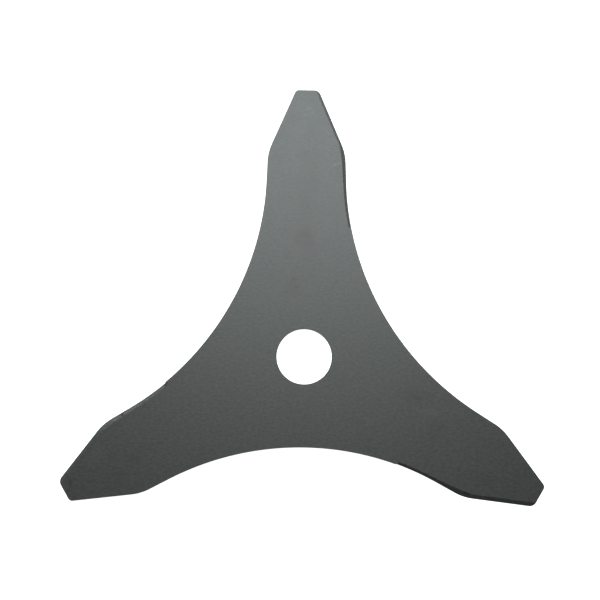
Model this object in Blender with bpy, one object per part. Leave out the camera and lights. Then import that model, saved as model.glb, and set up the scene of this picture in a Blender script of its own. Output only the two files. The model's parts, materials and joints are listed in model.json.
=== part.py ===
"""Brush cutter blade: three teeth and a round arbor bore in one flat steel plate.

The plate lies flat, in metres with +Z up. The origin is on the bore's axis at half the
plate's thickness. The first tooth points along +Y, and the others follow clockwise as
seen from above. Each tooth is ground on both sides: its clockwise edge from the upper
face and its other edge from the lower face, so the blade works either way up.
"""
import math
from collections import namedtuple

import bmesh
import bpy
import numpy as np
from mathutils import Matrix, Vector

MM = 0.001

# Plate
TEETH = 3
THICKNESS = 1.6 * MM
TIP_REACH = 125.0 * MM  # bore axis to the flat end of a tooth
TIP_WIDTH = 10.66 * MM  # flat end, between its corners before they are rounded
TIP_CORNER_RADIUS = 2.2 * MM  # corner of a tooth's end as the blank is cut
GROUND_CORNER_RADIUS = 3.2 * MM  # the other corner, worn rounder by the wheel on the upper face
POINT_LENGTH = 29.8 * MM  # end of a tooth to its shoulders, along the tooth
TOOTH_WIDTH = 36.25 * MM  # across the shoulders, between their corners before rounding
SHOULDER_RADIUS = 23.7 * MM
FLANK_LENGTH = 13.7 * MM  # straight side from the shoulder to where the bay's arc starts
FLANK_SLOPE = math.radians(2.0)  # flank against the tooth's middle line, wider towards the bore

# Arbor bore
BORE_DIAMETER = 25.4 * MM
BORE_EDGE_BREAK = 0.2 * MM  # 45 degree edge break at both mouths

# Ground cutting edges
GRIND_ANGLE = math.radians(30.0)  # bevel against the plate's face
GRIND_LENGTH = 63.8 * MM  # end of a tooth to the bevel's heel, along the tooth
POINT_BEVEL = 1.55 * MM  # width of the bevel from the tooth's end to the shoulder
SHOULDER_BEVEL = 2.15 * MM  # width at the shoulder
FLANK_BEVEL = 1.5 * MM  # width where the straight flank ends
HEEL_BEVEL = 1.3 * MM  # width where the wheel was lifted off
HEEL_RUN_OUT = 0.8 * MM  # length over which the wheel left the plate
LIFT_LEAD = 0.2 * MM  # how far before the bevel's heel the wheel starts to lift

# Hand grinding of the upper face, for the first tooth and the next ones clockwise
POINT_ALLOWANCES = (-0.38 * MM, 0.28 * MM, 0.0 * MM)  # each bevel's width against POINT_BEVEL
SHOULDER_ALLOWANCES = (-0.25 * MM, 0.28 * MM, 0.0 * MM)  # against SHOULDER_BEVEL
FLANK_ALLOWANCES = (-0.05 * MM, -0.1 * MM, 0.05 * MM)  # against FLANK_BEVEL
HEEL_ALLOWANCES = (-0.1 * MM, -0.1 * MM, 0.15 * MM)  # against HEEL_BEVEL
LENGTH_ALLOWANCES = (0.9 * MM, -0.4 * MM, -0.6 * MM)  # each bevel's length against GRIND_LENGTH
HEEL_BITES = (0.0 * MM, 0.25 * MM, 0.3 * MM)  # depth the wheel cut into the edge at the heel

# Cutters
WHEEL_REACH = 3.0 * MM  # how far a cutter stands out past the edge
WHEEL_CLEARANCE = 0.3 * MM  # how far outside the edge the bevel's face lies once the wheel is off
CUT_MARGIN = 1.0 * MM  # how far a cutter passes the plate's faces
WHEEL_RUN_IN = 4.0 * MM  # how far a cutter starts past the tooth's end

# Finish
FACET_SAG = 0.005 * MM  # how far a facet may lie inside its true curve
SHARP_ANGLE = math.radians(20.0)  # edges that turn more than this stay sharp
FILLET_SHARE = 0.95  # a rounding takes at most this share of the straight edges beside it
WELD_DISTANCE = 0.0001 * MM
PAINT_COLOUR = "#5A5D5C"
PAINT_ROUGHNESS = 0.42
PAINT_METALLIC = 0.15

Grind = namedtuple("Grind", "widths length bite")


def clear_scene():
    """Removes every object of the scene."""
    for item in list(bpy.data.objects):
        bpy.data.objects.remove(item, do_unlink=True)


def linear_colour(hex_colour):
    """Turns an sRGB hex colour into linear RGBA."""
    channels = [int(hex_colour[i:i + 2], 16) / 255 for i in (1, 3, 5)]
    linear = [c / 12.92 if c <= 0.04045 else ((c + 0.055) / 1.055) ** 2.4 for c in channels]
    return (*linear, 1.0)


def satin_paint():
    """Dark grey satin paint, baked on the steel."""
    material = bpy.data.materials.new("satin_grey_paint_on_steel")
    material.use_nodes = True
    shader = material.node_tree.nodes["Principled BSDF"]
    shader.inputs["Base Color"].default_value = linear_colour(PAINT_COLOUR)
    shader.inputs["Roughness"].default_value = PAINT_ROUGHNESS
    shader.inputs["Metallic"].default_value = PAINT_METALLIC
    return material


def direction(angle):
    """Unit vector in the plate's plane, at an angle from +X."""
    return Vector((math.cos(angle), math.sin(angle)))


def facet_count(radius, turn):
    """Number of facets that keeps an arc within FACET_SAG of its true curve."""
    facet = 2 * math.acos(1 - FACET_SAG / abs(radius))
    return max(2, math.ceil(abs(turn) / facet))


def arc(centre, radius, start, end):
    """Points along an arc, both ends included."""
    count = facet_count(radius, end - start)
    step = (end - start) / count
    return [centre + radius * direction(start + step * i) for i in range(count + 1)]


def rounded(before, corner, after, radius):
    """Arc that rounds a corner, limited by the straight edges on its two sides."""
    back = before - corner
    onward = after - corner
    half = back.angle(onward) / 2
    radius = min(radius, FILLET_SHARE * min(back.length, onward.length) * math.tan(half))
    tangent = radius / math.tan(half)
    middle = (back.normalized() + onward.normalized()).normalized()
    centre = corner + middle * radius / math.sin(half)
    first = corner + back.normalized() * tangent - centre
    last = corner + onward.normalized() * tangent - centre
    start = math.atan2(first.y, first.x)
    turn = math.atan2(first.cross(last), first.dot(last))
    return arc(centre, radius, start, start + turn)


def tip_corner():
    """Right-hand corner of the flat end, before rounding."""
    return Vector((TIP_WIDTH / 2, TIP_REACH))


def shoulder_corner():
    """Right-hand shoulder, before rounding."""
    return Vector((TOOTH_WIDTH / 2, TIP_REACH - POINT_LENGTH))


def flank_end():
    """Lower end of the straight flank, where the bay's arc touches it."""
    return shoulder_corner() - FLANK_LENGTH * direction(math.pi / 2 + FLANK_SLOPE)


def tip_rounding(radius):
    """Rounded corner of the tooth's flat end."""
    return rounded(Vector((0, TIP_REACH)), tip_corner(), shoulder_corner(), radius)


def shoulder_rounding():
    """Rounded shoulder between the point's slanted edge and the flank."""
    return rounded(tip_corner(), shoulder_corner(), flank_end(), SHOULDER_RADIUS)


def half_bay():
    """Bay's arc from the flank to the bay's middle, centred on the line between two teeth."""
    between = math.pi / 2 - math.pi / TEETH
    off_flank = direction(FLANK_SLOPE)
    radius = -flank_end().cross(direction(between)) / off_flank.cross(direction(between))
    centre = flank_end() + radius * off_flank
    return arc(centre, -radius, FLANK_SLOPE, between)


def for_tooth(values, number):
    """Value of one tooth, from the first one again past the last."""
    return values[number % len(values)]


def upper_grind(number):
    """Hand grinding of one tooth from the upper face."""
    widths = (
        POINT_BEVEL + for_tooth(POINT_ALLOWANCES, number),
        SHOULDER_BEVEL + for_tooth(SHOULDER_ALLOWANCES, number),
        FLANK_BEVEL + for_tooth(FLANK_ALLOWANCES, number),
        HEEL_BEVEL + for_tooth(HEEL_ALLOWANCES, number),
    )
    length = GRIND_LENGTH + for_tooth(LENGTH_ALLOWANCES, number)
    return Grind(widths, length, for_tooth(HEEL_BITES, number))


def lower_grind():
    """Grinding of every tooth from the lower face, without the upper face's differences."""
    return Grind((POINT_BEVEL, SHOULDER_BEVEL, FLANK_BEVEL, HEEL_BEVEL), GRIND_LENGTH, 0.0)


def edge_below_tip():
    """Right-hand edge from the shoulder to the bay's middle, before grinding."""
    return shoulder_rounding() + half_bay()


def edge_point(height):
    """Point of the right-hand edge at a height along the tooth."""
    upwards = edge_below_tip()[::-1]
    across = np.interp(height, [p.y for p in upwards], [p.x for p in upwards])
    return Vector((across, height))


def taken_back(point, grind):
    """Point of the edge, moved across the tooth by the depth that the wheel cut."""
    marks = [POINT_LENGTH, grind.length, grind.length + HEEL_RUN_OUT]
    depth = np.interp(TIP_REACH - point.y, marks, [0, grind.bite, 0])
    return point - Vector((depth, 0))


def ground_edge(grind):
    """Right-hand edge from the shoulder to the bay's middle, as the wheel left it."""
    heel = TIP_REACH - grind.length
    marks = [edge_point(heel), edge_point(heel - HEEL_RUN_OUT)]
    points = sorted(edge_below_tip() + marks, key=lambda p: -p.y)
    return [taken_back(p, grind) for p in points]


def tooth_outline(grind):
    """Outline of the first tooth, clockwise from the middle of one bay to that of the next."""
    trailing = tip_rounding(TIP_CORNER_RADIUS) + edge_below_tip()
    leading = tip_rounding(GROUND_CORNER_RADIUS) + ground_edge(grind)
    return [Vector((-p.x, p.y)) for p in reversed(trailing)] + leading


def blade_outline():
    """Whole outline, clockwise, with one point where the bays of two teeth meet."""
    points = []
    for number in range(TEETH):
        turn = Matrix.Rotation(-2 * math.pi * number / TEETH, 2)
        points += [turn @ p for p in tooth_outline(upper_grind(number))[1:]]
    return points


def bevel_width(from_end, grind):
    """Width of the bevel at a distance from the tooth's end, negative once the wheel is off."""
    rounding = TIP_REACH - shoulder_rounding()[0].y
    lift = grind.length - LIFT_LEAD
    marks = [rounding, POINT_LENGTH, POINT_LENGTH + FLANK_LENGTH, lift, lift + HEEL_RUN_OUT]
    return float(np.interp(from_end, marks, [*grind.widths, -WHEEL_CLEARANCE]))


def wheel_path(grind):
    """Points of the edge where the wheel's section is set, each between two of the outline's."""
    slant = (tip_corner() - shoulder_corner()).normalized()
    edge = edge_below_tip()
    lift = TIP_REACH - grind.length + LIFT_LEAD
    middles = [(a + b) / 2 for a, b in zip(edge, edge[1:])]
    followed = [p for p in middles if p.y > lift + HEEL_RUN_OUT]
    heel = [edge_point(lift), edge_point(lift - HEEL_RUN_OUT)]
    return [tip_corner() + slant * WHEEL_RUN_IN] + followed + heel


def wheel_section(width):
    """Section of the ground-away wedge: pairs of depth behind the edge and height."""
    face = THICKNESS / 2
    slope = math.tan(GRIND_ANGLE)
    return [
        (width + CUT_MARGIN / slope, face + CUT_MARGIN),
        (-WHEEL_REACH, face + CUT_MARGIN),
        (-WHEEL_REACH, face - (width + WHEEL_REACH) * slope),
    ]


def wheel_rings(grind):
    """Wedge sections along the right-hand edge of the first tooth, from past its end."""
    path = wheel_path(grind)
    rings = []
    for i, point in enumerate(path):
        along = (path[min(i + 1, len(path) - 1)] - path[max(i - 1, 0)]).normalized()
        inward = Vector((along.y, -along.x))
        edge = taken_back(point, grind)
        section = wheel_section(bevel_width(TIP_REACH - point.y, grind))
        rings.append([(*(edge + inward * depth), height) for depth, height in section])
    return rings


def add_object(name, form):
    """Makes an object from a bmesh, with its faces turned outwards."""
    bmesh.ops.recalc_face_normals(form, faces=form.faces)
    mesh = bpy.data.meshes.new(name)
    form.to_mesh(mesh)
    form.free()
    made = bpy.data.objects.new(name, mesh)
    bpy.context.scene.collection.objects.link(made)
    return made


def lofted(name, rings):
    """Closed solid through a run of rings that have the same number of points."""
    form = bmesh.new()
    loops = [[form.verts.new(point) for point in ring] for ring in rings]
    for here, there in zip(loops, loops[1:]):
        for i in range(len(here)):
            form.faces.new((here[i - 1], here[i], there[i], there[i - 1]))
    form.faces.new(loops[0])
    form.faces.new(loops[-1])
    bmesh.ops.triangulate(form, faces=form.faces)
    return add_object(name, form)


def plate():
    """Blank plate: the outline raised to the plate's thickness."""
    form = bmesh.new()
    base = form.faces.new([form.verts.new((p.x, p.y, -THICKNESS / 2)) for p in blade_outline()])
    raised = bmesh.ops.extrude_face_region(form, geom=[base])["geom"]
    upper = [item for item in raised if isinstance(item, bmesh.types.BMVert)]
    bmesh.ops.translate(form, verts=upper, vec=(0, 0, THICKNESS))
    return add_object("blade", form)


def bore_cutter():
    """Turned cutter for the bore, flared at both faces to break the edges."""
    radius = BORE_DIAMETER / 2
    flare = radius + BORE_EDGE_BREAK + CUT_MARGIN
    face = THICKNESS / 2
    land = face - BORE_EDGE_BREAK
    profile = [
        (flare, -face - CUT_MARGIN),
        (radius, -land),
        (radius, land),
        (flare, face + CUT_MARGIN),
    ]
    facets = facet_count(radius, 2 * math.pi)
    around = [direction(2 * math.pi * i / facets) for i in range(facets)]
    return lofted("bore_cutter", [[(*(ray * r), z) for ray in around] for r, z in profile])


def edge_cutters():
    """Two cutters for each tooth: one from the upper face, one from the lower face."""
    cutters = []
    turned_over = Matrix.Rotation(math.pi, 4, "Y")
    for number in range(TEETH):
        place = Matrix.Rotation(-2 * math.pi * number / TEETH, 4, "Z")
        upper = lofted(f"upper_wheel_{number + 1}", wheel_rings(upper_grind(number)))
        upper.data.transform(place)
        lower = lofted(f"lower_wheel_{number + 1}", wheel_rings(lower_grind()))
        lower.data.transform(place @ turned_over)
        cutters += [upper, lower]
    return cutters


def cut_away(body, cutters):
    """Takes the cutters out of the body and puts the result in the body's mesh."""
    for cutter in cutters:
        cutter.hide_render = True
        cutter.display_type = "WIRE"
        cut = body.modifiers.new(cutter.name, "BOOLEAN")
        cut.operation = "DIFFERENCE"
        cut.solver = "EXACT"
        cut.object = cutter
    finished = body.evaluated_get(bpy.context.evaluated_depsgraph_get())
    mesh = bpy.data.meshes.new_from_object(finished)
    body.modifiers.clear()
    body.data = mesh
    for cutter in cutters:
        bpy.data.objects.remove(cutter, do_unlink=True)


def shade(body, material):
    """Welds the cut mesh, shades its curves smooth and gives it its paint."""
    form = bmesh.new()
    form.from_mesh(body.data)
    bmesh.ops.remove_doubles(form, verts=form.verts, dist=WELD_DISTANCE)
    form.to_mesh(body.data)
    form.free()
    body.data.shade_smooth()
    body.data.set_sharp_from_angle(angle=SHARP_ANGLE)
    body.data.materials.clear()
    body.data.materials.append(material)


def build():
    """Builds the blade."""
    clear_scene()
    blade = plate()
    cut_away(blade, [bore_cutter()] + edge_cutters())
    shade(blade, satin_paint())


build()
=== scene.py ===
"""Looks of a three-tooth brush cutter blade: cut and ground steel plate under satin powder paint.

The blade lies on an opal light table, under soft boxes, and the camera looks down on it from
where the photograph was taken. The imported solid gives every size. The scene adds the rounding
that paint gives to cut edges, and the finish of the faces, the ground edges and the cut walls.
Lengths are in metres, in the blade's own frame: origin on the bore's axis at half the plate's
thickness, +Z up out of the face that shows, +Y along the first tooth.
"""
from __future__ import annotations

import json
import logging
import math
from dataclasses import dataclass, field
from enum import Enum

import bmesh
import bpy
from mathutils import Matrix, Vector

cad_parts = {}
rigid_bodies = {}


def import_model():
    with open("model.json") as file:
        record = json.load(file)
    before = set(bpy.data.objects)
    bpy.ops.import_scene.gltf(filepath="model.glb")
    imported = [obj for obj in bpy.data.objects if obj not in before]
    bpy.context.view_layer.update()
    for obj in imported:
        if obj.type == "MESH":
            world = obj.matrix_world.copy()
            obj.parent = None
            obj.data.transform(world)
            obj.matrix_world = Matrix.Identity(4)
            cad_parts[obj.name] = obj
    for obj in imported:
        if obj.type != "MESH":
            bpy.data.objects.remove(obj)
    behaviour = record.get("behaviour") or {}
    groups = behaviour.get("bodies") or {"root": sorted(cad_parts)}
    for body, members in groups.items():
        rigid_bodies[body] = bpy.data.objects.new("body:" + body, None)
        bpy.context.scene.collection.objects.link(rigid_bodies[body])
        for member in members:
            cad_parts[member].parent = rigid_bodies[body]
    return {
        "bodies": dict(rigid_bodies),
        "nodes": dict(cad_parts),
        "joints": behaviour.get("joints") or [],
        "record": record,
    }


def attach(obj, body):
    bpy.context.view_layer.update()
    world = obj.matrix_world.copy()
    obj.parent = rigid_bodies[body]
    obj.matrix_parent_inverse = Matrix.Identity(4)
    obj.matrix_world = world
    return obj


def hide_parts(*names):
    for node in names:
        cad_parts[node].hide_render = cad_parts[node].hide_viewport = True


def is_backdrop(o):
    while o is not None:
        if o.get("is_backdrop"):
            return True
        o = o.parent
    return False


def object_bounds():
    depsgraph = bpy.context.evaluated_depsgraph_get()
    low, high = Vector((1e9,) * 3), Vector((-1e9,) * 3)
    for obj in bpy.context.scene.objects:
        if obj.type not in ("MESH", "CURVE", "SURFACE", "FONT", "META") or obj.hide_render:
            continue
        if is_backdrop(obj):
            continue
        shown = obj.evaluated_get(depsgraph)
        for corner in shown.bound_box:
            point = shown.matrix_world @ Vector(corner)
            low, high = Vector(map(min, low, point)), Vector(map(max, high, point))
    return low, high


MM = 0.001
TEETH = 3
PAINT_IOR = 1.5
FINE_DETAIL = 2.0  # finer octaves of a noise whose small features matter
NOISE_MIDDLE = 0.5  # average value of a noise
NOISE_RANGE = (0.3, 0.7)  # where nearly all values of a soft noise lie
CLOUD_RANGE = (0.35, 0.65)  # narrower, so that the clouds reach both of their colours
MARK_CORE = 0.85  # how near its middle a mark gets its full strength: 1 is the middle itself
GRIND_STRETCH = (1.0, 0.06, 1.0)  # grinding lines run across the edge, in the teeth's UV map
CUT_STRETCH = (1.0, 1.0, 0.08)  # cutting lines run up the wall
EDGE_SHADE_COLOUR = "#2E302F"  # painted shade: a darker copy of the face paint for the ground edges and cut walls, as they turn away from the lights
EDGE_SHADE_CLOUD_COLOUR = "#2F3130"

log = logging.getLogger("blade")


class Surface(Enum):
    """Part of the plate that a finish lies on. The value is the finish's place on the piece."""

    FACE = 0
    GROUND_EDGE = 1
    CUT_WALL = 2


class Blemish(Enum):
    """What kind of mark lies on the paint. The value is the hex colour that the mark leans to."""

    SMUDGE = "#26150D"
    STAIN = "#151511"
    HANDLING = "#4C514F"
    # light scratches, and the same light colour painted as glints beside a nick: painted highlights
    SCRATCH = "#7C8280"
    # painted shade: a near-black spot where the wall of a nick or the end of the bevel's run-out notch
    # turns away from the light
    NICK = "#0C0B0A"


def linear_colour(hex_colour: str) -> tuple[float, float, float, float]:
    """Turns an sRGB hex colour into linear RGBA.

    Args:
        hex_colour: colour as "#RRGGBB".

    Returns:
        The colour's linear red, green and blue, and an alpha of 1.
    """
    # The numbers below are the sRGB standard's own.
    channels = [int(hex_colour[i:i + 2], 16) / 255 for i in (1, 3, 5)]
    red, green, blue = (c / 12.92 if c <= 0.04045 else ((c + 0.055) / 1.055) ** 2.4 for c in channels)
    return red, green, blue, 1.0


def add_node(tree: bpy.types.NodeTree, kind: str, inputs: dict | None = None, **settings) -> bpy.types.Node:
    """Adds one node to a tree, with its settings, values and links.

    Args:
        tree: node tree that gets the node.
        kind: node's type, such as "ShaderNodeTexNoise".
        inputs: for each input, by name or number, its value or the output socket that feeds it.
        settings: the node's own properties.

    Returns:
        The new node.
    """
    node = tree.nodes.new(kind)
    for name, value in settings.items():
        setattr(node, name, value)
    for socket, value in (inputs or {}).items():
        if isinstance(value, bpy.types.NodeSocket):
            tree.links.new(value, node.inputs[socket])
        else:
            node.inputs[socket].default_value = value
    return node


def noise_inputs(place: bpy.types.NodeSocket, size: float, detail: float = 1.0) -> dict:
    """Inputs of a noise texture with features of this size, in metres, on coordinates in metres."""
    return {"Vector": place, "Scale": 1 / size, "Detail": detail}


@dataclass(frozen=True)
class Mark:
    """One mark on the paint: a soft ellipse, which frayed coordinates make ragged."""

    kind: Blemish
    x_mm: float
    y_mm: float
    length_mm: float
    width_mm: float
    angle_deg: float
    strength: float

    def mask(self, tree: bpy.types.NodeTree, coordinates: bpy.types.NodeSocket,
             face_height: float, depth: float) -> bpy.types.NodeSocket:
        """Adds the nodes that show where the mark is.

        Args:
            tree: the material's node tree.
            coordinates: frayed Object coordinates.
            face_height: height of the upper face, in metres.
            depth: how far below the upper face the mark still shows, in metres.

        Returns:
            The socket with the mark's strength: 0 away from it, its full strength in its middle.
        """
        placed = add_node(
            tree, "ShaderNodeMapping", {
                "Vector": coordinates,
                "Location": (self.x_mm * MM, self.y_mm * MM, face_height),
                "Rotation": (0, 0, math.radians(self.angle_deg)),
                "Scale": (self.length_mm / 2 * MM, self.width_mm / 2 * MM, depth),
            }, vector_type="TEXTURE")
        ball = add_node(
            tree, "ShaderNodeTexGradient", {"Vector": placed.outputs[0]}, gradient_type="SPHERICAL")
        soft = add_node(
            tree, "ShaderNodeMapRange", {
                "Value": ball.outputs["Fac"],
                "From Max": MARK_CORE,
                "To Max": self.strength,
            }, interpolation_type="SMOOTHSTEP")
        return soft.outputs["Result"]


@dataclass(frozen=True)
class SatinPowderPaint:
    """Satin powder paint stoved on steel, as it lies on one surface of the plate.

    The pigment itself is near black. What the eye takes for grey is the sheen that a satin film
    spreads over it, so the plate pales towards the lights and darkens where an edge tilts away.
    The powder melts into a film that isn't quite flat: its orange peel breaks the sheen into a
    fine grain, its pigment lies in broad faint clouds, and its gloss differs from place to place.
    The sheet was rolled along X, and the film follows its rolling marks, so the grain runs that way.
    """

    name: str
    surface: Surface
    colour: str = "#363432"
    cloud_colour: str = "#363533"
    roughness: float = 0.36
    nick_roughness: float = 0.95
    roughness_spread: float = 0.004
    cloud_size: float = 25 * MM
    mottle_size: float = 4 * MM
    mottle_depth: float = 0.03
    gloss_size: float = 6 * MM
    # Grain and orange peel are 0.2 to 0.4 mm on a real film, finer than the render's 0.46 mm a pixel,
    # so both are drawn as coarse as they need to show.
    grain_size: float = 0.95 * MM
    grain_depth: float = 0.21
    peel_size: float = 0.7 * MM
    peel_height: float = 0.016 * MM
    rolled_stretch: float = 1.8
    # Grinding and cutting lines are about 0.1 mm apart, and are drawn coarser for the same reason.
    lines_size: float = 0.35 * MM
    lines_height: float = 0.0
    marks: tuple[Mark, ...] = ()
    face_height: float = 0.8 * MM
    mark_depth: float = 0.8 * MM
    fray_size: float = 2.5 * MM
    fray: float = 3.0 * MM

    def material(self) -> bpy.types.Material:
        """Makes the paint's material.

        Returns:
            The finished material.
        """
        made = bpy.data.materials.new(self.name)
        made.use_nodes = True
        tree = made.node_tree
        shader = tree.nodes["Principled BSDF"]
        shader.inputs["IOR"].default_value = PAINT_IOR
        shader.inputs["Metallic"].default_value = 0.0
        place = add_node(tree, "ShaderNodeTexCoord").outputs["Object"]
        frayed = self.frayed(tree, place)
        tree.links.new(self.pigment(tree, place, frayed), shader.inputs["Base Color"])
        tree.links.new(self.gloss(tree, place, frayed), shader.inputs["Roughness"])
        tree.links.new(self.relief(tree, place), shader.inputs["Normal"])
        return made

    def rolled(self, tree: bpy.types.NodeTree, place: bpy.types.NodeSocket) -> bpy.types.NodeSocket:
        """Coordinates squeezed along the rolling direction, so that what is drawn on them is stretched."""
        squeeze = (1 / self.rolled_stretch, 1.0, 1.0)
        return add_node(tree, "ShaderNodeMapping", {"Vector": place, "Scale": squeeze}).outputs[0]

    def pigment(self, tree: bpy.types.NodeTree, place: bpy.types.NodeSocket,
                frayed: bpy.types.NodeSocket) -> bpy.types.NodeSocket:
        """Paint colour with its clouds, mottle, grain and marks.

        Args:
            tree: the material's node tree.
            place: Object coordinates.
            frayed: Object coordinates that wander, for the marks.

        Returns:
            The colour socket.
        """
        broad = add_node(tree, "ShaderNodeTexNoise", noise_inputs(place, self.cloud_size))
        cloud = add_node(tree, "ShaderNodeMapRange", {
            "Value": broad.outputs["Fac"],
            "From Min": CLOUD_RANGE[0], "From Max": CLOUD_RANGE[1],
        })
        clouded = add_node(tree, "ShaderNodeMix", {
            "Factor": cloud.outputs["Result"],
            "A": linear_colour(self.colour),
            "B": linear_colour(self.cloud_colour),
        }, data_type="RGBA")
        colour = clouded.outputs["Result"]
        patterns = (
            (place, self.mottle_size, self.mottle_depth),
            (self.rolled(tree, place), self.grain_size, self.grain_depth),
        )
        for coordinates, size, depth in patterns:
            pattern = add_node(tree, "ShaderNodeTexNoise", noise_inputs(coordinates, size))
            shade = add_node(tree, "ShaderNodeMapRange", {
                "Value": pattern.outputs["Fac"],
                "From Min": NOISE_RANGE[0], "From Max": NOISE_RANGE[1],
                "To Min": 1 - depth, "To Max": 1 + depth,
            })
            colour = add_node(tree, "ShaderNodeVectorMath", {0: colour, 1: shade.outputs["Result"]},
                              operation="MULTIPLY").outputs[0]
        for mark in self.marks:
            colour = add_node(tree, "ShaderNodeMix", {
                "Factor": mark.mask(tree, frayed, self.face_height, self.mark_depth),
                "A": colour,
                "B": linear_colour(mark.kind.value),
            }, data_type="RGBA").outputs["Result"]
        return colour

    def frayed(self, tree: bpy.types.NodeTree, place: bpy.types.NodeSocket) -> bpy.types.NodeSocket:
        """Coordinates that wander a little in the plane of the plate, so that marks get ragged outlines.

        Args:
            tree: the material's node tree.
            place: Object coordinates.

        Returns:
            The wandering coordinates, or the given ones where there are no marks.
        """
        if not self.marks:
            return place
        wander = add_node(tree, "ShaderNodeTexNoise", noise_inputs(place, self.fray_size)).outputs["Color"]
        centred = add_node(tree, "ShaderNodeVectorMath", {0: wander, 1: (NOISE_MIDDLE,) * 3},
                           operation="SUBTRACT").outputs[0]
        return add_node(tree, "ShaderNodeVectorMath", {0: centred, 1: (self.fray, self.fray, 0), 2: place},
                        operation="MULTIPLY_ADD").outputs[0]

    def gloss(self, tree: bpy.types.NodeTree, place: bpy.types.NodeSocket,
              frayed: bpy.types.NodeSocket) -> bpy.types.NodeSocket:
        """Roughness that changes a little over the film, and is dull where the film is broken by a nick.

        Args:
            tree: the material's node tree.
            place: Object coordinates.
            frayed: Object coordinates that wander, for the marks.

        Returns:
            The roughness socket.
        """
        patches = add_node(tree, "ShaderNodeTexNoise", noise_inputs(place, self.gloss_size, FINE_DETAIL))
        rough = add_node(tree, "ShaderNodeMapRange", {
            "Value": patches.outputs["Fac"],
            "From Min": NOISE_RANGE[0], "From Max": NOISE_RANGE[1],
            "To Min": self.roughness - self.roughness_spread,
            "To Max": self.roughness + self.roughness_spread,
        }).outputs["Result"]
        # the near-black spots of painted nick shade also get a dull film here
        for nick in (mark for mark in self.marks if mark.kind is Blemish.NICK):
            rough = add_node(tree, "ShaderNodeMix", {
                "Factor": nick.mask(tree, frayed, self.face_height, self.mark_depth),
                "A": rough,
                "B": self.nick_roughness,
            }).outputs["Result"]
        return rough

    def relief(self, tree: bpy.types.NodeTree, place: bpy.types.NodeSocket) -> bpy.types.NodeSocket:
        """Orange peel, and the grinding or cutting lines that the paint doesn't fill.

        Args:
            tree: the material's node tree.
            place: Object coordinates.

        Returns:
            The normal socket.
        """
        rolled = self.rolled(tree, place)
        ripple = add_node(tree, "ShaderNodeTexNoise", noise_inputs(rolled, self.peel_size))
        peel = add_node(tree, "ShaderNodeBump", {
            "Height": ripple.outputs["Fac"],
            "Strength": 1.0, "Distance": self.peel_height,
        })
        if not self.lines_height:
            return peel.outputs["Normal"]
        return add_node(tree, "ShaderNodeBump", {
            "Height": self.lines(tree, place),
            "Strength": 1.0, "Distance": self.lines_height,
            "Normal": peel.outputs["Normal"],
        }).outputs["Normal"]

    def lines(self, tree: bpy.types.NodeTree, place: bpy.types.NodeSocket) -> bpy.types.NodeSocket:
        """Lines left in the steel: across the edge where it is ground, up the wall where it is cut.

        Args:
            tree: the material's node tree.
            place: Object coordinates.

        Returns:
            The height socket.
        """
        if self.surface is Surface.GROUND_EDGE:
            source = add_node(tree, "ShaderNodeUVMap", uv_map="tooth").outputs["UV"]
            stretch = GRIND_STRETCH
        else:
            source = place
            stretch = CUT_STRETCH
        drawn = add_node(tree, "ShaderNodeMapping", {"Vector": source, "Scale": stretch}).outputs[0]
        return add_node(
            tree, "ShaderNodeTexNoise", noise_inputs(drawn, self.lines_size, FINE_DETAIL)).outputs["Fac"]


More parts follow.
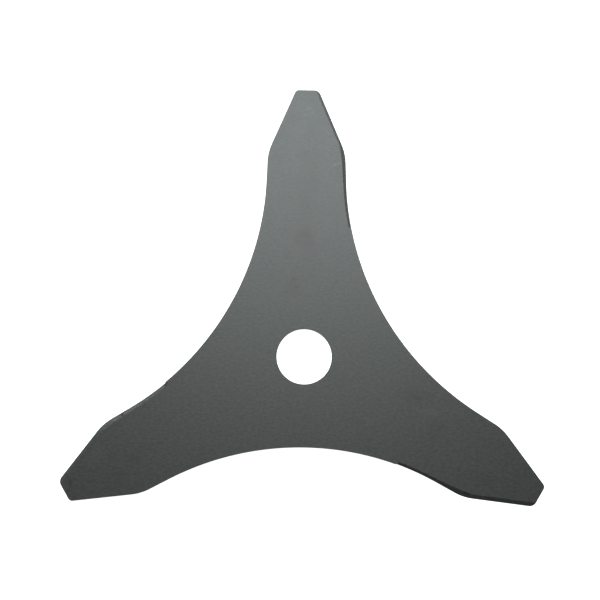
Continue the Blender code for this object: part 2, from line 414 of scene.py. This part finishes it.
@dataclass
class Blade:
    """The one piece: the plate with its teeth, bore and ground edges, painted all over."""

    body: str = "root"
    node: str = "blade"
    slot: str = "satin_paint"
    name: str = "painted_blade"
    weld: float = 0.001 * MM
    flat_angle: float = math.radians(0.3)
    sharp_angle: float = math.radians(15)
    crease_angle: float = math.radians(40)
    face_tilt: float = 10.0
    wall_tilt: float = 40.0
    normal_weight: int = 100
    edge_radius: float = 0.04 * MM
    edge_segments: int = 2
    finishes: dict[Surface, SatinPowderPaint] = field(default_factory=dict)

    def build(self, frame: dict) -> bpy.types.Object:
        """Makes the blade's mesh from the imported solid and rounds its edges.


        Returns:
            The blade's object, in place and riding on its body.
        """
        form = bmesh.new()
        form.from_mesh(frame["nodes"][self.node].data)
        self.merge(form)
        self.sort_faces(form)
        self.round_edges(form)
        self.lay_out(form)
        mesh = bpy.data.meshes.new(self.name)
        form.to_mesh(mesh)
        form.free()
        mesh.shade_smooth()
        mesh.set_sharp_from_angle(angle=self.crease_angle)
        piece = bpy.data.objects.new(self.name, mesh)
        bpy.context.scene.collection.objects.link(piece)
        weighted = piece.modifiers.new("weighted_normals", "WEIGHTED_NORMAL")
        weighted.keep_sharp = True
        weighted.weight = self.normal_weight
        self.dress(piece)
        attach(piece, self.body)
        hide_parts(self.node)
        return piece

    def merge(self, form: bmesh.types.BMesh) -> None:
        """Joins the solid's loose triangles into whole faces.

        Args:
            form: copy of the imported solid's mesh.
        """
        bmesh.ops.remove_doubles(form, verts=form.verts, dist=self.weld)
        bmesh.ops.dissolve_limit(form, angle_limit=self.flat_angle, use_dissolve_boundaries=False,
                                 verts=form.verts, edges=form.edges)

    def sort_faces(self, form: bmesh.types.BMesh) -> None:
        """Says for each face which surface it belongs to, by its tilt from level in degrees.

        Args:
            form: the merged mesh.
        """
        for face in form.faces:
            tilt = math.degrees(math.acos(min(1.0, abs(face.normal.z))))
            if tilt < self.face_tilt:
                surface = Surface.FACE
            elif tilt < self.wall_tilt:
                surface = Surface.GROUND_EDGE
            else:
                surface = Surface.CUT_WALL
            face.material_index = surface.value

    def round_edges(self, form: bmesh.types.BMesh) -> None:
        """Rounds every sharp edge as the paint film does.

        Args:
            form: the merged mesh.
        """
        sharp = [edge for edge in form.edges if edge.calc_face_angle(0.0) > self.sharp_angle]
        bmesh.ops.bevel(form, geom=sharp, offset=self.edge_radius, offset_type="OFFSET",
                        segments=self.edge_segments, profile=0.5, affect="EDGES", clamp_overlap=False,
                        material=-1, loop_slide=True)
        bmesh.ops.recalc_face_normals(form, faces=form.faces)

    def lay_out(self, form: bmesh.types.BMesh) -> None:
        """Lays the mesh out in a UV map, in metres: u along the tooth and v across it.

        Args:
            form: the finished mesh.
        """
        layer = form.loops.layers.uv.new("tooth")
        step = 2 * math.pi / TEETH
        for face in form.faces:
            middle = face.calc_center_median()
            turn = round((math.pi / 2 - math.atan2(middle.y, middle.x)) / step) * step
            upright = Matrix.Rotation(turn, 3, "Z")
            for loop in face.loops:
                place = upright @ loop.vert.co
                loop[layer].uv = (place.y, place.x)

    def dress(self, piece: bpy.types.Object) -> None:
        """Gives the piece one finish for each surface, in the order of their places."""
        for surface in Surface:
            piece.data.materials.append(self.finishes[surface].material())


@dataclass(frozen=True)
class BacklitOpalAcrylic:
    """Cast opal acrylic, lit from below: an even white glow with no grain, and a dull surface."""

    name: str = "opal_acrylic_backlit"
    colour: str = "#F4F4F4"
    roughness: float = 0.6
    glow: float = 1.02
    glow_colour: str = "#FFFFFF"

    def material(self) -> bpy.types.Material:
        """Makes the acrylic's material.

        Returns:
            The finished material.
        """
        made = bpy.data.materials.new(self.name)
        made.use_nodes = True
        shader = made.node_tree.nodes["Principled BSDF"]
        shader.inputs["Base Color"].default_value = linear_colour(self.colour)
        shader.inputs["Roughness"].default_value = self.roughness
        shader.inputs["Emission Color"].default_value = linear_colour(self.glow_colour)
        shader.inputs["Emission Strength"].default_value = self.glow
        return made


@dataclass(frozen=True)
class LightTable:
    """Light table that the blade lies on, wide enough to reach the horizon of a low view."""

    radius: float = 4.0
    segments: int = 96
    clearance: float = 0.05 * MM
    finish: BacklitOpalAcrylic = field(default_factory=BacklitOpalAcrylic)

    def build(self, lowest: float) -> bpy.types.Object:
        """Makes the table's top.

        Args:
            lowest: height of the blade's lowest point.

        Returns:
            The table, marked as stage.
        """
        form = bmesh.new()
        disc = bmesh.ops.create_circle(form, cap_ends=True, segments=self.segments, radius=self.radius)
        bmesh.ops.translate(form, verts=disc["verts"], vec=(0, 0, lowest - self.clearance))
        mesh = bpy.data.meshes.new("light_table")
        form.to_mesh(mesh)
        form.free()
        table = bpy.data.objects.new("light_table", mesh)
        bpy.context.scene.collection.objects.link(table)
        mesh.materials.append(self.finish.material())
        table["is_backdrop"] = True
        return table


@dataclass(frozen=True)
class SoftBox:
    """One studio soft box, aimed at the bore unless it is told otherwise."""

    name: str
    place: tuple[float, float, float]
    width: float
    height: float
    power: float
    colour: str
    aim: tuple[float, float, float] = (0.0, 0.0, 0.0)

    def build(self) -> bpy.types.Object:
        """Makes the light and turns it to its aim.

        Returns:
            The light's object.
        """
        lamp = bpy.data.lights.new(self.name, "AREA")
        lamp.shape = "RECTANGLE"
        lamp.size = self.width
        lamp.size_y = self.height
        lamp.energy = self.power
        lamp.color = linear_colour(self.colour)[:3]
        made = bpy.data.objects.new(self.name, lamp)
        bpy.context.scene.collection.objects.link(made)
        made.location = self.place
        made.rotation_euler = (Vector(self.aim) - Vector(self.place)).to_track_quat("-Z", "Y").to_euler()
        made.visible_camera = False
        return made


@dataclass(frozen=True)
class PhotoCamera:
    """Pinhole camera where the photograph was taken, as the blade's outline gives it."""

    frame_px: float = 600.0
    focal_px: float = 1409.7
    bore_x_px: float = 304.22
    bore_y_px: float = 356.61
    distance: float = 0.64788
    turn: float = math.radians(-0.86)
    tilt_x: float = math.radians(-5.76)
    tilt_y: float = math.radians(1.16)
    sensor_mm: float = 36.0

    def build(self, face_height: float) -> bpy.types.Object:
        """Makes the camera and gives it to the scene.

        Args:
            face_height: height of the face that the photo shows.

        Returns:
            The camera's object.
        """
        lens = bpy.data.cameras.new("photo_camera")
        lens.sensor_width = self.sensor_mm
        lens.lens = self.focal_px / self.frame_px * self.sensor_mm
        half = self.frame_px / 2
        right = (self.bore_x_px - half) / self.focal_px * self.distance
        up = (half - self.bore_y_px) / self.focal_px * self.distance
        world_to_camera = (
            Matrix.Translation((right, up, -self.distance))
            @ Matrix.Rotation(self.tilt_y, 4, "Y")
            @ Matrix.Rotation(self.tilt_x, 4, "X")
            @ Matrix.Rotation(self.turn, 4, "Z")
            @ Matrix.Translation((0, 0, -face_height))
        )
        made = bpy.data.objects.new("photo_camera", lens)
        bpy.context.scene.collection.objects.link(made)
        made.matrix_world = world_to_camera.inverted()
        bpy.context.scene.camera = made
        return made


@dataclass
class Studio:
    """Everything round the blade: the table, the soft boxes, the room and the camera.

    The room is brightest at the horizon, wall_strength, and dims to room_strength at wall_height,
    which is the height of a direction's unit vector. Low views get their sheen from its walls.
    """

    table: LightTable = field(default_factory=LightTable)
    camera: PhotoCamera = field(default_factory=PhotoCamera)
    lights: tuple[SoftBox, ...] = ()
    room_colour: str = "#FFFFFF"
    room_strength: float = 0.02
    wall_strength: float = 0.9
    wall_height: float = 0.43

    def build(self, low: Vector, high: Vector) -> None:
        """Sets the studio up round the blade.

        Args:
            low: lowest corner of the blade's box.
            high: highest corner of the blade's box.
        """
        self.camera.build(high.z)
        self.table.build(low.z)
        for light in self.lights:
            light.build()
        bpy.context.scene.world = self.room()
        bpy.context.scene.view_settings.view_transform = "Standard"

    def room(self) -> bpy.types.World:
        """White room that shows as bright as the table, and lights the blade mostly from its far walls.

        Returns:
            The room as the scene's world.
        """
        world = bpy.data.worlds.new("room")
        world.use_nodes = True
        tree = world.node_tree
        background = tree.nodes["Background"]
        background.inputs["Color"].default_value = linear_colour(self.room_colour)
        direction = add_node(tree, "ShaderNodeTexCoord").outputs["Generated"]
        lit = add_node(tree, "ShaderNodeMapRange", {
            "Value": add_node(tree, "ShaderNodeSeparateXYZ", {0: direction}).outputs["Z"],
            "From Max": self.wall_height, "To Min": self.wall_strength, "To Max": self.room_strength,
        }, interpolation_type="SMOOTHSTEP")
        seen = add_node(tree, "ShaderNodeLightPath").outputs["Is Camera Ray"]
        strength = add_node(tree, "ShaderNodeMapRange", {
            "Value": seen, "To Min": lit.outputs["Result"], "To Max": self.table.finish.glow,
        })
        tree.links.new(strength.outputs["Result"], background.inputs["Strength"])
        return world


LIGHTS = (
    SoftBox("overhead_box", (0.04, 0.548, 1.69), 0.61, 0.62, 15.85, "#F4FFFF"),
    SoftBox("left_back_box", (-0.452, 0.645, 0.616), 0.42, 0.3, 3.9, "#FBFFFE"),
    SoftBox("right_back_box", (0.621, 0.740, 0.259), 0.25, 0.25, 2.0, "#F3FAFF"),
    SoftBox("right_side_box", (0.807, 0.377, 0.454), 0.3, 0.3, 0.95, "#F5FFF9"),
    SoftBox("left_side_box", (-0.772, 0.446, 0.454), 0.3, 0.3, 0.4, "#F1F7FF"),
)

FACE_MARKS = (
    # On the upper tooth: handling marks near the tip, a scratch that runs in from the right edge, two broad
    # films of grime down the middle and three grimy spots in them.
    Mark(Blemish.HANDLING, 0.8, 116.5, 2.6, 2.2, 0.0, 0.75),
    Mark(Blemish.HANDLING, 3.1, 114.1, 2.0, 1.8, 0.0, 0.5),
    Mark(Blemish.HANDLING, -1.1, 113.1, 2.4, 1.8, 0.0, 0.45),
    Mark(Blemish.HANDLING, 6.9, 111.8, 2.2, 1.8, 0.0, 0.5),
    Mark(Blemish.HANDLING, 8.4, 107.6, 2.0, 1.8, 0.0, 0.45),
    Mark(Blemish.HANDLING, 10.7, 104.3, 2.0, 2.0, 0.0, 0.45),
    Mark(Blemish.SCRATCH, 13.2, 89.7, 6.5, 1.2, 8.0, 0.2),
    Mark(Blemish.SCRATCH, 15.4, 90.6, 1.8, 2.8, 20.0, 0.3),
    Mark(Blemish.SMUDGE, 0.0, 76.0, 18.0, 64.0, 0.0, 0.25),
    Mark(Blemish.SMUDGE, 0.0, 49.0, 36.0, 34.0, 0.0, 0.2),
    Mark(Blemish.SMUDGE, 0.0, 70.5, 10.0, 8.0, 0.0, 0.25),
    Mark(Blemish.SMUDGE, 0.6, 70.0, 3.2, 2.6, 0.0, 0.35),
    Mark(Blemish.SMUDGE, -1.0, 55.2, 14.0, 16.0, 10.0, 0.5),
    Mark(Blemish.SMUDGE, 0.6, 56.4, 7.0, 3.6, -42.0, 0.9),
    Mark(Blemish.SMUDGE, 2.8, 52.6, 5.0, 8.0, 10.0, 0.35),
    Mark(Blemish.SMUDGE, -5.4, 32.6, 13.0, 17.0, -15.0, 0.34),
    Mark(Blemish.SMUDGE, -5.0, 35.9, 3.6, 4.4, 0.0, 0.5),
    Mark(Blemish.SMUDGE, -4.0, 32.6, 2.6, 3.0, 0.0, 0.5),
    # On the lower right tooth: faint stains and a rubbed place between them.
    Mark(Blemish.STAIN, 52.0, -17.6, 21.0, 12.0, -8.0, 0.18),
    Mark(Blemish.STAIN, 51.8, -18.1, 9.0, 2.4, -14.0, 0.32),
    Mark(Blemish.STAIN, 57.4, -16.8, 3.4, 1.8, 0.0, 0.3),
    Mark(Blemish.STAIN, 60.4, -33.6, 16.0, 12.0, 30.0, 0.18),
    Mark(Blemish.STAIN, 63.1, -31.4, 4.5, 3.2, 30.0, 0.3),
    Mark(Blemish.STAIN, 71.8, -50.8, 3.5, 2.6, 0.0, 0.25),
    Mark(Blemish.STAIN, 83.5, -54.8, 12.0, 8.0, -10.0, 0.14),
    Mark(Blemish.HANDLING, 57.0, -24.6, 17.0, 5.0, -4.0, 0.13),
    # On the lower left tooth: dark specks at the tip, faint stains along the tooth, a rubbed place, and a
    # dull near-black spot at the heel: painted shade of the bevel's run-out notch.
    Mark(Blemish.STAIN, -105.6, -58.9, 2.6, 5.5, -10.0, 0.6),
    Mark(Blemish.STAIN, -106.4, -62.6, 2.6, 2.2, 0.0, 0.4),
    Mark(Blemish.STAIN, -95.1, -63.1, 2.6, 1.8, 0.0, 0.4),
    Mark(Blemish.STAIN, -97.0, -57.9, 5.5, 2.0, 0.0, 0.25),
    Mark(Blemish.STAIN, -77.0, -47.6, 9.0, 8.0, 0.0, 0.2),
    Mark(Blemish.STAIN, -75.1, -48.9, 2.2, 2.2, 0.0, 0.35),
    Mark(Blemish.STAIN, -82.2, -55.0, 11.0, 5.0, 0.0, 0.2),
    Mark(Blemish.STAIN, -65.3, -40.4, 3.0, 2.6, 0.0, 0.3),
    Mark(Blemish.STAIN, -72.9, -23.6, 1.8, 1.6, 0.0, 0.6),
    Mark(Blemish.HANDLING, -95.1, -46.4, 8.0, 18.0, -36.0, 0.14),
    Mark(Blemish.NICK, -63.3, -13.3, 2.4, 2.2, 45.0, 0.7),
)

EDGE_MARKS = (
    # On the lower left tooth's ground edge: painted shade where a nick's wall turns from the light, painted
    # highlights for the glints beside it, a lighter streak along the edge, and painted shade at the end of
    # the bevel's run-out notch by the heel, with a lighter spot beside it.
    Mark(Blemish.NICK, -82.9, -27.6, 2.4, 2.3, 32.0, 0.65),
    Mark(Blemish.SCRATCH, -86.0, -30.2, 2.2, 1.0, 40.0, 0.3),
    Mark(Blemish.SCRATCH, -84.6, -29.3, 1.2, 1.0, 40.0, 0.25),
    Mark(Blemish.HANDLING, -78.6, -24.9, 9.0, 1.6, 30.0, 0.2),
    Mark(Blemish.NICK, -63.4, -13.6, 2.4, 2.2, 45.0, 1.0),
    Mark(Blemish.HANDLING, -64.6, -15.0, 2.4, 2.0, 40.0, 0.3),
)


def finishes() -> dict[Surface, SatinPowderPaint]:
    """The paint as it lies on each surface of the plate.

    Returns:
        One finish for each surface.
    """
    return {
        Surface.FACE: SatinPowderPaint("satin_powder_paint_on_plate", Surface.FACE, marks=FACE_MARKS),
        # the ground edges and cut walls get the darker copy of the paint: painted shade
        Surface.GROUND_EDGE: SatinPowderPaint(
            "satin_powder_paint_on_ground_edge", Surface.GROUND_EDGE, peel_height=0.006 * MM,
            lines_height=0.006 * MM, marks=EDGE_MARKS, mark_depth=3.0 * MM, fray=1.0 * MM,
            colour=EDGE_SHADE_COLOUR, cloud_colour=EDGE_SHADE_CLOUD_COLOUR),
        Surface.CUT_WALL: SatinPowderPaint(
            "satin_powder_paint_on_cut_wall", Surface.CUT_WALL, peel_height=0.008 * MM,
            lines_height=0.01 * MM, colour=EDGE_SHADE_COLOUR, cloud_colour=EDGE_SHADE_CLOUD_COLOUR),
    }


def main() -> None:
    """Builds the studio and the blade in it, and reports the piece."""
    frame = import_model()
    cad_low, cad_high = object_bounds()
    Studio(lights=LIGHTS).build(cad_low, cad_high)
    piece = Blade(finishes=finishes()).build(frame)
    log.info("%s: %d faces", piece.name, len(piece.data.polygons))


if __name__ == "__main__":
    logging.basicConfig(level=logging.INFO, format="%(message)s")
    main()
